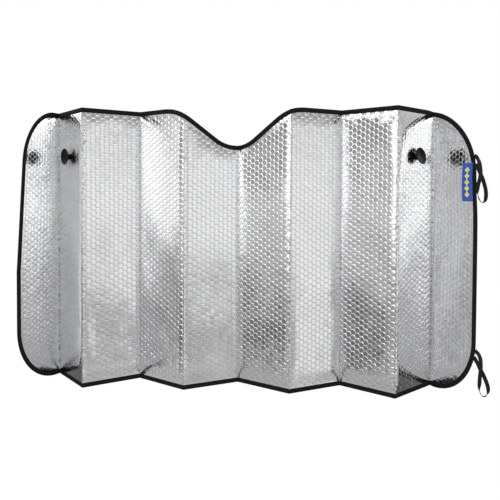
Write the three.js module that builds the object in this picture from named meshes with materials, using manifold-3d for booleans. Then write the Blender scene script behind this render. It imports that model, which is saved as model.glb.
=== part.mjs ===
// A folding windscreen sunshade, standing half unfolded on its lower edge.
// It is one sheet of foil-faced bubble film with pressed fold lines and a notch for the
// mirror, a binding sewn round its edge, two suction cups through punched holes, two
// elastic loops that hold the folded shade together, and a small side label.
// Millimetres, +Z up, the viewed face towards -Y.
//
// The sheet is drawn flat first: u runs along its width from the left edge, z is the
// height, and w is the distance from its middle surface towards the viewed face. fold()
// then carries a flat point to its place on the folded sheet.

import * as THREE from 'three';
import { mergeVertices } from 'three/addons/utils/BufferGeometryUtils.js';
import Module from 'manifold-3d';

const wasm = await Module();
wasm.setup();

// The sheet's outline, laid flat
const panelWidth = 130;
const shadeHeight = 600;
const bottomCornerRadius = 125;
const leftTopRadius = 112;
const rightTopRadius = 155;
const sideKneeHeight = 250;
const leftSideLean = 27;
const rightSideLean = 5;

// The turn of each panel from the windscreen's plane in degrees, left to right, and how
// far each fold was pressed to the right of its even place
const panelTurns = [68.6, -49.9, 33.5, -34.9, 27.2, -33.2, 27.5, -37.5, 43.1, -64.3];
const foldDrifts = [0, 0, 0, 3, 0, 3, 0, 0, 0];

// The mirror notch in the top edge
const notchDepth = 76;
const notchOffset = -7;
const notchFloorRadius = 80;
const notchShoulderRadius = 130;
const notchFlankSlope = 34.6;

// The film: full thickness in the panels, pressed flat at the folds and under the binding
const panelThickness = 3.6;
const pressedThickness = 1.6;
const creaseRamp = 5;
const edgeRamp = 4;

// The binding tape, folded over the edge
const bindingWidth = 10;
const bindingWall = 0.7;
const foldInnerRadius = 0.8;

// The room between pieces that touch
const clearance = 0.3;

// The suction cups, each in the middle of the second panel from its side, below the top
const cupDrop = 102;
const cupRadius = 18;
const cupStandOff = 13.5;
const cupLipWidth = 1.6;
const cupLipThickness = 1.1;
const cupMouthDepth = 5.5;
const cupCollarRadius = 6.5;
const cupCollarHeight = 1.6;
const cupStemRadius = 5;
const cupNeckRadius = 3.7;
const cupKnobRadius = 6.2;
const cupKnobHeight = 4.2;

// The elastic loops, sewn in at the right side edge
const bandWidth = 8;
const bandThickness = 1;

// The side label on the last panel, below the top
const labelWidth = 27;
const labelHeight = 77;
const labelThickness = 0.3;
const labelDrop = 119;

// How finely curves are cut
const cornerSteps = 16;
const foldSteps = 4;
const notchArcSteps = 5;
const cupSegments = 32;
const bandSteps = 56;

const panelCount = panelTurns.length;
const shadeWidth = panelCount * panelWidth;
const bindingInner = pressedThickness / 2 + clearance;
const bindingOuter = bindingInner + bindingWall;
const foldRadius = bindingOuter + foldInnerRadius;
const cutEdge = bindingWall + clearance;

const filmMaterial = new THREE.MeshStandardMaterial({ color: 0xcfd1d3, metalness: 0.9, roughness: 0.32 });
const tapeMaterial = new THREE.MeshStandardMaterial({ color: 0x131314, metalness: 0, roughness: 0.9 });
const cupMaterial = new THREE.MeshStandardMaterial({ color: 0x0d0d0e, metalness: 0, roughness: 0.3 });
const elasticMaterial = new THREE.MeshStandardMaterial({ color: 0x151516, metalness: 0, roughness: 0.85 });
const labelMaterial = new THREE.MeshStandardMaterial({ color: 0x2d55b4, metalness: 0, roughness: 0.6 });

// The folds, each with its place on the flat sheet, its angle and the length it takes up
const folds = [];
for (let panel = 1; panel < panelCount; panel += 1) {
  const turn = THREE.MathUtils.degToRad(panelTurns[panel] - panelTurns[panel - 1]);
  const place = panel * panelWidth + foldDrifts[panel - 1];
  folds.push({ u: place, turn, halfLength: foldRadius * Math.abs(turn) / 2 });
}

// The sheet's middle line seen from above, as straight stretches joined by bent ones
function endOf(stretch, run) {
  const heading = stretch.heading + stretch.bend * run;
  if (stretch.bend === 0) {
    return {
      x: stretch.x + run * Math.cos(heading),
      y: stretch.y + run * Math.sin(heading),
      heading,
    };
  }
  return {
    x: stretch.x + (Math.sin(heading) - Math.sin(stretch.heading)) / stretch.bend,
    y: stretch.y - (Math.cos(heading) - Math.cos(stretch.heading)) / stretch.bend,
    heading,
  };
}

function makeMiddleLine() {
  const stretches = [];
  let place = { x: 0, y: 0, heading: THREE.MathUtils.degToRad(panelTurns[0]) };
  let u = 0;
  const add = (end, bend) => {
    const stretch = { ...place, bend, start: u, end };
    stretches.push(stretch);
    place = endOf(stretch, end - u);
    u = end;
  };
  for (const fold of folds) {
    add(fold.u - fold.halfLength, 0);
    add(fold.u + fold.halfLength, Math.sign(fold.turn) / foldRadius);
  }
  add(shadeWidth, 0);
  return stretches;
}

const middleLine = makeMiddleLine();

function middleLineAt(u) {
  const stretch = middleLine.find((item) => u <= item.end) ?? middleLine.at(-1);
  return endOf(stretch, u - stretch.start);
}

// The side edges lean in above their knee, and the end panels take up the lean
function leanAt(u, z) {
  const lean = u < shadeWidth / 2 ? leftSideLean : -rightSideLean;
  const aboveKnee = Math.max(0, z - sideKneeHeight) / (shadeHeight - sideKneeHeight);
  const fromSide = Math.min(u, shadeWidth - u);
  return lean * aboveKnee * Math.max(0, 1 - fromSide / panelWidth);
}

function fold(u, z, w) {
  const { x, y, heading } = middleLineAt(u + leanAt(u, z));
  return new THREE.Vector3(x + w * Math.sin(heading), y - w * Math.cos(heading), z);
}

// The lower edge's height at u, moved into the sheet by inset
function lowerEdge(u, inset) {
  const fromSide = Math.min(u, shadeWidth - u);
  const across = bottomCornerRadius - fromSide;
  const radius = bottomCornerRadius - inset;
  if (across <= 0) {
    return inset;
  }
  if (across >= radius) {
    return bottomCornerRadius + (across - radius);
  }
  return bottomCornerRadius - Math.sqrt(radius ** 2 - across ** 2);
}

// The notch: a round floor, two straight flanks and two round shoulders
const notchCentre = shadeWidth / 2 + notchOffset;
const notchRadii = notchFloorRadius + notchShoulderRadius;
const notchSlope = Math.min(
  THREE.MathUtils.degToRad(notchFlankSlope),
  Math.acos(Math.max(0, 1 - notchDepth / notchRadii)),
);
const notchFlankRun = (notchDepth - notchRadii * (1 - Math.cos(notchSlope))) / Math.tan(notchSlope);
const notchHalfWidth = notchRadii * Math.sin(notchSlope) + notchFlankRun;

function notchEdge(across, inset) {
  const floorRadius = notchFloorRadius + inset;
  const shoulderRadius = notchShoulderRadius - inset;
  const floorEnd = floorRadius * Math.sin(notchSlope);
  const shoulderStart = notchHalfWidth - shoulderRadius * Math.sin(notchSlope);
  const floorCentre = shadeHeight - notchDepth + notchFloorRadius;
  if (across >= notchHalfWidth) {
    return shadeHeight - inset;
  }
  if (across <= floorEnd) {
    return floorCentre - Math.sqrt(floorRadius ** 2 - across ** 2);
  }
  if (across >= shoulderStart) {
    const rise = Math.sqrt(shoulderRadius ** 2 - (notchHalfWidth - across) ** 2);
    return shadeHeight - notchShoulderRadius + rise;
  }
  const flankFoot = floorCentre - floorRadius * Math.cos(notchSlope);
  return flankFoot + (across - floorEnd) * Math.tan(notchSlope);
}

// The upper edge's height at u, moved into the sheet by inset
function upperEdge(u, inset) {
  const cornerRadius = u < shadeWidth / 2 ? leftTopRadius : rightTopRadius;
  const fromSide = Math.min(u, shadeWidth - u);
  const across = cornerRadius - fromSide;
  const radius = cornerRadius - inset;
  const cornerCentre = shadeHeight - cornerRadius;
  if (across <= 0) {
    return notchEdge(Math.abs(u - notchCentre), inset);
  }
  if (across >= radius) {
    return cornerCentre - (across - radius);
  }
  return cornerCentre + Math.sqrt(radius ** 2 - across ** 2);
}

// The places along u where the edges or the folds bend, from the left side to the right
function cornerPlaces(leftRadius, rightRadius, inset) {
  const places = [];
  for (let step = 0; step <= cornerSteps; step += 1) {
    const reach = Math.cos((Math.PI / 2) * (step / cornerSteps));
    places.push(leftRadius - (leftRadius - inset) * reach);
    places.push(shadeWidth - rightRadius + (rightRadius - inset) * reach);
  }
  return places;
}

function notchPlaces() {
  const places = [notchCentre];
  for (let step = 1; step <= notchArcSteps; step += 1) {
    const angle = notchSlope * (step / notchArcSteps);
    const onFloor = notchFloorRadius * Math.sin(angle);
    const onShoulder = notchHalfWidth - notchShoulderRadius * Math.sin(angle);
    places.push(notchCentre - onFloor, notchCentre + onFloor);
    places.push(notchCentre - onShoulder, notchCentre + onShoulder);
  }
  places.push(notchCentre - notchHalfWidth, notchCentre + notchHalfWidth);
  return places;
}

function foldPlaces(inset) {
  const places = [inset, shadeWidth - inset];
  for (const { u, halfLength } of folds) {
    for (let step = 0; step <= foldSteps; step += 1) {
      places.push(u + halfLength * (2 * step / foldSteps - 1));
    }
    places.push(u - halfLength - creaseRamp, u + halfLength + creaseRamp);
  }
  return places;
}

// Fold places are kept as they are, and others only where they stand clear of all the rest
function inOrder(fixedPlaces, freePlaces) {
  const leastStep = 0.8;
  const kept = [...fixedPlaces];
  for (const place of freePlaces) {
    if (kept.every((other) => Math.abs(other - place) > leastStep)) {
      kept.push(place);
    }
  }
  return kept.sort((first, second) => first - second);
}

// A closed skin over a row of sections that all have the same number of points. An open
// row is closed by a strip at each end, from each section's first half to its second.
function loft(sections, isRing) {
  const count = sections[0].length;
  const indices = [];
  const quad = (a, b, c, d) => indices.push(a, c, b, a, d, c);
  const lastStart = isRing ? sections.length : sections.length - 1;
  for (let section = 0; section < lastStart; section += 1) {
    const here = section * count;
    const next = ((section + 1) % sections.length) * count;
    for (let point = 0; point < count; point += 1) {
      const beside = (point + 1) % count;
      quad(here + point, next + point, next + beside, here + beside);
    }
  }
  if (!isRing) {
    const last = (sections.length - 1) * count;
    for (let point = 0; point < count / 2 - 1; point += 1) {
      const across = count - 1 - point;
      quad(point, point + 1, across - 1, across);
      quad(last + point, last + across, last + across - 1, last + point + 1);
    }
  }
  const geometry = new THREE.BufferGeometry();
  const positions = sections.flat().flatMap((point) => point.toArray());
  geometry.setAttribute('position', new THREE.Float32BufferAttribute(positions, 3));
  geometry.setIndex(indices);
  geometry.computeVertexNormals();
  return geometry;
}

function solidFrom(geometry) {
  const bare = geometry.clone();
  bare.deleteAttribute('normal');
  bare.deleteAttribute('uv');
  const merged = mergeVertices(bare);
  return new wasm.Manifold(new wasm.Mesh({
    numProp: 3,
    vertProperties: new Float32Array(merged.attributes.position.array),
    triVerts: new Uint32Array(merged.index.array),
  }));
}

function geometryFrom(solid) {
  const { vertProperties, triVerts } = solid.getMesh();
  const geometry = new THREE.BufferGeometry();
  geometry.setAttribute('position', new THREE.Float32BufferAttribute(vertProperties, 3));
  geometry.setIndex(Array.from(triVerts));
  geometry.computeVertexNormals();
  return geometry;
}

// The film's thickness: pressed at a fold and in the edge band, full in the open panel
function thicknessAt(u, rowFullness) {
  const fromSide = Math.min(u, shadeWidth - u);
  const sideFullness = (fromSide - bindingWidth) / edgeRamp;
  const foldFullness = Math.min(...folds.map(
    (item) => (Math.abs(u - item.u) - item.halfLength) / creaseRamp,
  ));
  const fullness = Math.min(rowFullness, sideFullness, foldFullness);
  return THREE.MathUtils.lerp(pressedThickness, panelThickness, THREE.MathUtils.clamp(fullness, 0, 1));
}

// A suction cup's place on the sheet and the way it faces
function cupPlace(u) {
  const { heading } = middleLineAt(u);
  return {
    centre: fold(u, shadeHeight - cupDrop, 0),
    facing: new THREE.Vector3(Math.sin(heading), -Math.cos(heading), 0),
  };
}

const cupPlaces = {
  suction_cup_left: cupPlace(1.5 * panelWidth),
  suction_cup_right: cupPlace(shadeWidth - 1.5 * panelWidth),
};

function turnTo(facing) {
  return new THREE.Quaternion().setFromUnitVectors(new THREE.Vector3(0, 1, 0), facing);
}

function makeFoilSheet() {
  const rows = [
    { inset: cutEdge, fullness: 0 },
    { inset: bindingWidth, fullness: 0 },
    { inset: bindingWidth + edgeRamp, fullness: 1 },
  ];
  const columns = inOrder(foldPlaces(cutEdge), [
    bindingWidth,
    bindingWidth + edgeRamp,
    shadeWidth - bindingWidth,
    shadeWidth - bindingWidth - edgeRamp,
    ...notchPlaces(),
    ...cornerPlaces(bottomCornerRadius, bottomCornerRadius, cutEdge),
    ...cornerPlaces(leftTopRadius, rightTopRadius, cutEdge),
  ]);
  const sections = columns.map((u) => {
    const heights = [
      ...rows.map(({ inset, fullness }) => ({ z: lowerEdge(u, inset), fullness })),
      { z: sideKneeHeight, fullness: 1 },
      ...rows.toReversed().map(({ inset, fullness }) => ({ z: upperEdge(u, inset), fullness })),
    ];
    const faceAt = (side) => heights.map(({ z, fullness }) => (
      fold(u, z, side * thicknessAt(u, fullness) / 2)
    ));
    return [...faceAt(-1), ...faceAt(1).reverse()];
  });
  let sheet = solidFrom(loft(sections, false));
  const punch = new THREE.CylinderGeometry(
    cupNeckRadius + clearance,
    cupNeckRadius + clearance,
    2 * panelThickness,
    cupSegments,
  );
  for (const { centre, facing } of Object.values(cupPlaces)) {
    const placedPunch = punch.clone().applyQuaternion(turnTo(facing)).translate(...centre);
    sheet = sheet.subtract(solidFrom(placedPunch));
  }
  return geometryFrom(sheet);
}

// The binding's folded tape: a U over the cut edge, which turns with the edge round the
// corners and stands upright across the folds
function makeEdgeBinding() {
  const legs = [
    [bindingWidth, -bindingInner],
    [bindingWall, -bindingInner],
    [bindingWall, bindingInner],
    [bindingWidth, bindingInner],
    [bindingWidth, bindingOuter],
    [0, bindingOuter],
    [0, -bindingOuter],
    [bindingWidth, -bindingOuter],
  ];
  const lowerPlaces = inOrder(
    foldPlaces(0),
    cornerPlaces(bottomCornerRadius, bottomCornerRadius, 0),
  );
  const upperPlaces = inOrder(foldPlaces(0), [
    ...notchPlaces(),
    ...cornerPlaces(leftTopRadius, rightTopRadius, 0),
  ]);
  const sideKnee = () => sideKneeHeight;
  const stations = [
    ...lowerPlaces.map((u) => ({ u, edge: lowerEdge })),
    { u: shadeWidth, edge: sideKnee },
    ...upperPlaces.reverse().map((u) => ({ u, edge: upperEdge })),
    { u: 0, edge: sideKnee },
  ];
  const flat = stations.map(({ u, edge }) => new THREE.Vector2(u, edge(u, 0)));
  const turnedBefore = 0.8 * panelWidth;
  const sections = stations.map(({ u, edge }, index) => {
    const before = flat.at(index - 1).clone().sub(flat[index]).normalize();
    const after = flat[(index + 1) % flat.length].clone().sub(flat[index]).normalize();
    const along = after.sub(before).normalize();
    const inward = new THREE.Vector2(-along.y, along.x);
    const isUpright = Math.min(u, shadeWidth - u) > turnedBefore;
    return legs.map(([inset, w]) => {
      const turned = inward.clone().multiplyScalar(inset).add(flat[index]);
      return isUpright ? fold(u, edge(u, inset), w) : fold(turned.x, turned.y, w);
    });
  });
  return loft(sections, true);
}

// One moulded cup: a knob behind the sheet, a neck through it, a collar, a stem and a bell
function makeCupGeometry() {
  const sheetFace = panelThickness / 2 + clearance;
  const mouthFloor = cupStandOff - cupMouthDepth;
  const bellRoot = sheetFace + cupCollarHeight + 1.6;
  const mouthEdge = cupRadius - cupLipWidth;
  const profile = [
    [0, -sheetFace - cupKnobHeight],
    [cupKnobRadius * 0.62, -sheetFace - cupKnobHeight],
    [cupKnobRadius * 0.92, -sheetFace - cupKnobHeight * 0.66],
    [cupKnobRadius, -sheetFace - cupKnobHeight * 0.25],
    [cupKnobRadius * 0.96, -sheetFace],
    [cupNeckRadius, -sheetFace],
    [cupNeckRadius, sheetFace],
    [cupCollarRadius, sheetFace],
    [cupCollarRadius, sheetFace + cupCollarHeight],
    [cupStemRadius, sheetFace + cupCollarHeight + 0.4],
    [cupStemRadius, bellRoot],
    [cupRadius * 0.52, bellRoot + (cupStandOff - bellRoot) * 0.34],
    [cupRadius * 0.8, bellRoot + (cupStandOff - bellRoot) * 0.66],
    [cupRadius, cupStandOff - cupLipThickness],
    [cupRadius, cupStandOff],
    [mouthEdge, cupStandOff],
    [mouthEdge * 0.8, mouthFloor + cupMouthDepth * 0.62],
    [mouthEdge * 0.5, mouthFloor + cupMouthDepth * 0.24],
    [mouthEdge * 0.22, mouthFloor],
    [0, mouthFloor],
  ];
  return new THREE.LatheGeometry(profile.map(([radius, height]) => (
    new THREE.Vector2(radius, height)
  )), cupSegments);
}

// Where the right side edge is at a height
function rightEdgeAt(z) {
  const aboveCorner = Math.max(0, z - (shadeHeight - rightTopRadius));
  const belowCorner = Math.max(0, bottomCornerRadius - z);
  const topInset = rightTopRadius - Math.sqrt(rightTopRadius ** 2 - aboveCorner ** 2);
  const bottomInset = bottomCornerRadius - Math.sqrt(bottomCornerRadius ** 2 - belowCorner ** 2);
  return fold(shadeWidth - topInset - bottomInset, z, 0);
}

// Each loop's route: across, depth and height from its upper end, which is sewn into the
// binding. It runs out in line with the panel, down in front, round and back up behind.
const loopRoutes = {
  elastic_loop_upper: {
    rootHeight: shadeHeight - 103,
    endHeight: shadeHeight - 123,
    points: [
      [5.6, -12.5, -2.5], [8.0, -18.5, -10.0], [9.4, -23.0, -20.0],
      [9.5, -25.2, -30.0], [8.3, -25.4, -41.0], [6.4, -24.4, -52.5], [6.2, -21.0, -68.0],
      [7.2, -17.8, -81.5], [10.6, -15.6, -91.5], [17.8, -13.6, -95.8], [25.4, -12.6, -89.0],
      [26.9, -12.5, -78.5], [24.4, -12.5, -67.5], [20.4, -12.8, -57.5], [15.6, -13.6, -47.5],
      [11.0, -14.6, -38.0], [8.0, -14.8, -30.0], [7.0, -14.4, -24.0],
    ],
  },
  elastic_loop_lower: {
    rootHeight: 110,
    endHeight: 97,
    points: [
      [5.4, -10.2, -4.4], [8.2, -13.4, -12.5], [9.6, -15.4, -24.0],
      [9.6, -16.0, -36.0], [8.6, -15.6, -48.5], [7.8, -14.2, -61.5], [8.1, -11.8, -74.5],
      [10.6, -8.8, -85.0], [16.2, -6.4, -92.2], [22.6, -5.0, -95.0], [28.2, -4.2, -92.0],
      [30.7, -4.0, -85.0], [29.3, -4.0, -78.0], [25.0, -4.0, -67.5], [19.6, -4.2, -56.0],
      [14.2, -5.2, -45.0], [8.8, -6.8, -33.5], [5.6, -8.4, -24.0], [4.0, -8.4, -17.0],
    ],
  },
};

// A band end stands off the binding's outer edge, square to it, with its width along it
function bandEnd(z) {
  const above = rightEdgeAt(z + bandWidth / 2);
  const below = rightEdgeAt(z - bandWidth / 2);
  const { heading } = middleLineAt(shadeWidth);
  const upEdge = above.clone().sub(below).normalize();
  const front = new THREE.Vector3(Math.sin(heading), -Math.cos(heading), 0);
  const outward = new THREE.Vector3().crossVectors(upEdge, front).normalize();
  return {
    place: above.add(below).multiplyScalar(0.5).addScaledVector(outward, clearance),
    outward,
    upEdge,
  };
}

// The band's width runs along the edge where it is sewn in, turns across where it bends
// down, and points at the viewer where the loop rounds its lowest place
function bandWidthDirection(fromEnd, upEdge) {
  const bendDown = 14;
  const bendRound = 30;
  const across = new THREE.Vector3(1, 0, 0);
  const deep = new THREE.Vector3(0, 1, 0);
  const firstTurn = THREE.MathUtils.smoothstep(fromEnd, 0, bendDown);
  const secondTurn = THREE.MathUtils.smoothstep(fromEnd, bendDown, bendDown + bendRound);
  return upEdge.clone().lerp(across, firstTurn).lerp(deep, secondTurn).normalize();
}

function makeLoopGeometry({ rootHeight, points, endHeight }) {
  const first = bandEnd(rootHeight);
  const last = bandEnd(endHeight);
  const straightOut = [0, 2.5, 5];
  const leadFrom = ({ place, outward }) => straightOut.map((run) => (
    place.clone().addScaledVector(outward, run)
  ));
  const between = points.map((step) => new THREE.Vector3(...step).add(first.place));
  const route = [...leadFrom(first), ...between, ...leadFrom(last).reverse()];
  const curve = new THREE.CatmullRomCurve3(route, false, 'centripetal');
  const length = curve.getLength();
  const sections = [];
  for (let step = 0; step <= bandSteps; step += 1) {
    const share = step / bandSteps;
    const centre = curve.getPointAt(share);
    const along = curve.getTangentAt(share);
    const fromEnd = length * Math.min(share, 1 - share);
    const { upEdge } = share < 0.5 ? first : last;
    const widthWay = bandWidthDirection(fromEnd, upEdge);
    widthWay.addScaledVector(along, -widthWay.dot(along)).normalize();
    const thickWay = new THREE.Vector3().crossVectors(along, widthWay);
    const corner = (acrossSign, thickSign) => centre.clone()
      .addScaledVector(widthWay, acrossSign * bandWidth / 2)
      .addScaledVector(thickWay, thickSign * bandThickness / 2);
    sections.push([corner(-1, -1), corner(1, -1), corner(1, 1), corner(-1, 1)]);
  }
  return loft(sections, false);
}

const shade = new THREE.Group();

function addMesh(name, geometry, material) {
  const mesh = new THREE.Mesh(geometry, material.clone());
  mesh.name = name;
  shade.add(mesh);
  return mesh;
}

addMesh('foil_sheet', makeFoilSheet(), filmMaterial);
addMesh('edge_binding', makeEdgeBinding(), tapeMaterial);

for (const [name, { centre, facing }] of Object.entries(cupPlaces)) {
  const cup = addMesh(name, makeCupGeometry(), cupMaterial);
  cup.position.copy(centre);
  cup.quaternion.copy(turnTo(facing));
}

// The origin is the middle of the shade's underside, the loops left out
const standing = new THREE.Box3().setFromObject(shade);
const middle = standing.getCenter(new THREE.Vector3());
shade.position.set(-middle.x, -middle.y, -standing.min.z);

for (const [name, route] of Object.entries(loopRoutes)) {
  addMesh(name, makeLoopGeometry(route), elasticMaterial);
}

// The label lies on the last panel, beside the binding
const labelU = shadeWidth - bindingWidth - edgeRamp - labelWidth / 2;
const labelFace = panelThickness / 2 + clearance + labelThickness / 2;
const label = addMesh(
  'side_label',
  new THREE.BoxGeometry(labelWidth, labelThickness, labelHeight),
  labelMaterial,
);
label.position.copy(fold(labelU, shadeHeight - labelDrop - labelHeight / 2, labelFace));
label.rotation.z = middleLineAt(labelU).heading;

export default shade;
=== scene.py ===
import math

import bmesh
import bpy
import numpy as np
from mathutils import Matrix, Vector


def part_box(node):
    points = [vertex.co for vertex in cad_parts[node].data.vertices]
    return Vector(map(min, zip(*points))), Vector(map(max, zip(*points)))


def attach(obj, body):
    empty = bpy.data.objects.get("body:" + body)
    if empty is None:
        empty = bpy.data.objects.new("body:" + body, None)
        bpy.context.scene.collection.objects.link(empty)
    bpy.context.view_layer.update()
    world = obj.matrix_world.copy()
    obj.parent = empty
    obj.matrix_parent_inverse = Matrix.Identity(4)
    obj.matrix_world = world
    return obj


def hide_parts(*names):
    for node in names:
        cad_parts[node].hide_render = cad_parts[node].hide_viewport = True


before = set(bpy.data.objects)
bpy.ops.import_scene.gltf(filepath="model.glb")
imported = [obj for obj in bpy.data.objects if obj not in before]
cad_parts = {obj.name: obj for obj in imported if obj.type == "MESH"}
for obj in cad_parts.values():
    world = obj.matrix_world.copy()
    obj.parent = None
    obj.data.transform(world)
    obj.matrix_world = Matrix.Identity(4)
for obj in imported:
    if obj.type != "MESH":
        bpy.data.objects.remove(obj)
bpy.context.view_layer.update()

# A windscreen sunshade of foil-faced bubble film, standing half unfolded. Metres, +Z up,
# the viewed face towards -Y. As in the CAD model, the sheet is drawn flat first: u runs
# along its width from the left edge, z is the height, and w is the distance from its
# middle surface towards the viewed face.

# The sheet's outline, laid flat
PANEL_WIDTH = 0.130
SHADE_HEIGHT = 0.600
BOTTOM_CORNER = 0.125
LEFT_TOP_CORNER = 0.112
RIGHT_TOP_CORNER = 0.155
SIDE_KNEE = 0.250
LEFT_LEAN = 0.027
RIGHT_LEAN = 0.001
RIGHT_DIP = 0.0045
DIP_HEIGHT = 0.445
DIP_SPREAD = 0.05
PANEL_TURNS = [68.6, -49.9, 33.5, -34.9, 27.2, -33.2, 27.5, -37.5, 43.1, -64.3]
FOLD_DRIFTS = [0, 0, 0, 0.003, 0, 0.003, 0, 0, 0]
SHADE_WIDTH = PANEL_WIDTH * len(PANEL_TURNS)

# The mirror notch
NOTCH_DEPTH = 0.076
NOTCH_CENTRE = SHADE_WIDTH / 2 - 0.007
NOTCH_FLOOR = 0.080
NOTCH_SHOULDER = 0.130
NOTCH_SLOPE = math.radians(34.6)

# The film and its binding
PANEL_HALF = 0.0018
PRESSED_HALF = 0.0006
CREASE_RAMP = 0.009
EDGE_RAMP = 0.010
SWELL_RAMP = 0.030
CUT_EDGE = 0.001
BINDING_WIDTH = 0.010
BINDING_OUTER = 0.0013
BINDING_INNER = 0.0009
FOLD_RADIUS = 0.0013
BINDING_LAP = 0.001
TAPE_CURL = 0.0014
TAPE_INSIDE = 0.0009
OUTLINE_STEP = 0.002
STITCH_STEP = 0.0036
STITCH_INSET = 0.0075
STITCH_HALF = 0.0003
STITCH_SINK = 0.0001

# The cups' places
CUP_DROP = 0.102
CUP_PLACES = [1.5 * PANEL_WIDTH, SHADE_WIDTH - 1.5 * PANEL_WIDTH]
CUP_SEGMENTS = 96

# The bubbles: a honeycomb whose nearest neighbours stand one above the other. Heights,
# tilts and domes are shares of BUBBLE_HEIGHT. The two outer panels at each side show
# rounder and wilder bubbles, and OUTER_FADE says where that ends, in panels from the side.
BUBBLE_PITCH = 0.0117
BUBBLE_HEIGHT = 0.0006
BUBBLE_REACH = 0.0056
BUBBLE_RAMP = 0.0022
BUBBLE_TILT = 0.13
BUBBLE_PUCKER = 0.10
BUBBLE_DOME = 0.12
BUBBLE_SPREAD = 0.15
RIM_DROP = 0.6
TOP_RANGE = (0.6, 1.2)
OUTER_DOME = 0.45
OUTER_WILDNESS = 0.6
OUTER_FADE = (1.8, 2.2)
LEAST_BLOWN = 0.35
FOOT_FADE = (0.012, 0.060)

# Small crumples at the folds and beside the binding
CRUMPLE = 0.00035
FOLD_CRUMPLE = 0.4
FOLD_CRUMPLE_REACH = 0.006
EDGE_CRUMPLE_FADE = (0.012, 0.024)

# Painted shade: how much the film's colour is darkened in the seams between bubbles and along the
# folds, standing in for the shade that falls in these hollows
SEAM_SHADE_RISE = 0.5
SEAM_SHADE_DEPTHS = (0.2, 0.52)
OUTER_SEAM_SHADE = 0.1
CREASE_SHADE_LINE = (0.0002, 0.0020)
CREASE_SHADE_SPOTS = 2.5

# Slow waves in the film
WAVE_COUNT = 14
WAVE_LENGTHS = (0.05, 0.20)
WAVE_HEIGHT = 0.00006
WAVE_BASE = 0.06
WAVE_GROWTH = 1.2
WAVE_SEED = 5
SWAY_FROM_FOLD = 0.03
SWAY_INSET = 0.045
SWAY_FROM_CUP = (0.01, 0.05)


# The camera, from a fit of the fold lines to the photo
def make_camera():
    lens_pixels = 585.0
    image_pixels = 500.0
    horizon_pixel = 208.1
    sensor = 36.0
    camera = bpy.data.objects.new("camera", bpy.data.cameras.new("camera"))
    bpy.context.scene.collection.objects.link(camera)
    camera.data.sensor_width = sensor
    camera.data.lens = sensor * lens_pixels / image_pixels
    camera.data.shift_y = (horizon_pixel - image_pixels / 2) / image_pixels
    camera.location = (0.0511, -1.252, 0.423)
    pitch = math.radians(1.6)
    yaw = math.radians(1.5)
    roll = math.radians(0.3)
    facing = (
        Matrix.Rotation(yaw, 4, "Z")
        @ Matrix.Rotation(math.pi / 2 - pitch, 4, "X")
        @ Matrix.Rotation(roll, 4, "Z")
    )
    camera.rotation_euler = facing.to_euler()
    camera.data.clip_end = 50
    bpy.context.scene.camera = camera


# The sheet's middle line seen from above, as straight and bent stretches
def make_middle_line():
    headings = [math.radians(turn) for turn in PANEL_TURNS]
    stretches = []
    x, y, u = 0.0, 0.0, 0.0
    for panel, heading in enumerate(headings):
        is_last = panel + 1 == len(headings)
        turn = 0.0 if is_last else headings[panel + 1] - heading
        drift = 0.0 if is_last else FOLD_DRIFTS[panel]
        half = FOLD_RADIUS * abs(turn) / 2
        straight_end = (panel + 1) * PANEL_WIDTH + drift - half
        stretches.append((u, straight_end, x, y, heading, 0.0))
        x += (straight_end - u) * math.cos(heading)
        y += (straight_end - u) * math.sin(heading)
        u = straight_end
        if turn:
            bend = math.copysign(1 / FOLD_RADIUS, turn)
            stretches.append((u, u + 2 * half, x, y, heading, bend))
            x += (math.sin(heading + turn) - math.sin(heading)) / bend
            y -= (math.cos(heading + turn) - math.cos(heading)) / bend
            u += 2 * half
    return stretches


MIDDLE_LINE = make_middle_line()
FOLDS = [
    ((start + end) / 2, (end - start) / 2)
    for start, end, _, _, _, bend in MIDDLE_LINE
    if bend
]


def middle_line_at(u):
    """The middle line's place and heading at each u."""
    x, y, heading = np.empty_like(u), np.empty_like(u), np.empty_like(u)
    starts = np.array([stretch[0] for stretch in MIDDLE_LINE])
    which = np.clip(np.searchsorted(starts, u, side="right") - 1, 0, len(starts) - 1)
    for index, (start, _, x0, y0, heading0, bend) in enumerate(MIDDLE_LINE):
        here = which == index
        run = u[here] - start
        heading[here] = heading0 + bend * run
        if bend:
            x[here] = x0 + (np.sin(heading[here]) - math.sin(heading0)) / bend
            y[here] = y0 - (np.cos(heading[here]) - math.cos(heading0)) / bend
        else:
            x[here] = x0 + run * math.cos(heading0)
            y[here] = y0 + run * math.sin(heading0)
    return x, y, heading


def fold(u, z, w):
    """Carries flat points to their places on the folded sheet."""
    u, z, w = np.broadcast_arrays(*(np.asarray(value, float) for value in (u, z, w)))
    from_side = np.minimum(u, SHADE_WIDTH - u)
    on_left = u < SHADE_WIDTH / 2
    lean = np.where(on_left, LEFT_LEAN, -RIGHT_LEAN)
    above_knee = np.maximum(0, z - SIDE_KNEE) / (SHADE_HEIGHT - SIDE_KNEE)
    from_dip = (z - DIP_HEIGHT) / DIP_SPREAD
    dip = np.where(on_left, 0, -RIGHT_DIP) * np.exp(-from_dip ** 2)
    lean = (lean * above_knee + dip) * np.maximum(0, 1 - from_side / PANEL_WIDTH)
    x, y, heading = middle_line_at(u + lean)
    x = x + w * np.sin(heading) + SHIFT[0]
    y = y - w * np.cos(heading) + SHIFT[1]
    return np.stack([x, y, z + 0 * x], axis=-1)


# The CAD model centres its binding on the origin, so its box says how far all is moved
def find_shift():
    edge_u = np.linspace(0, SHADE_WIDTH, 6001)
    faces = [fold(edge_u, SIDE_KNEE, side * BINDING_OUTER) for side in (-1, 1)]
    drawn = np.concatenate(faces)[:, :2]
    low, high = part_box("edge_binding")
    return (np.array(low[:2]) + np.array(high[:2]) - drawn.min(axis=0) - drawn.max(axis=0)) / 2


SHIFT = np.zeros(2)
SHIFT = find_shift()


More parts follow.
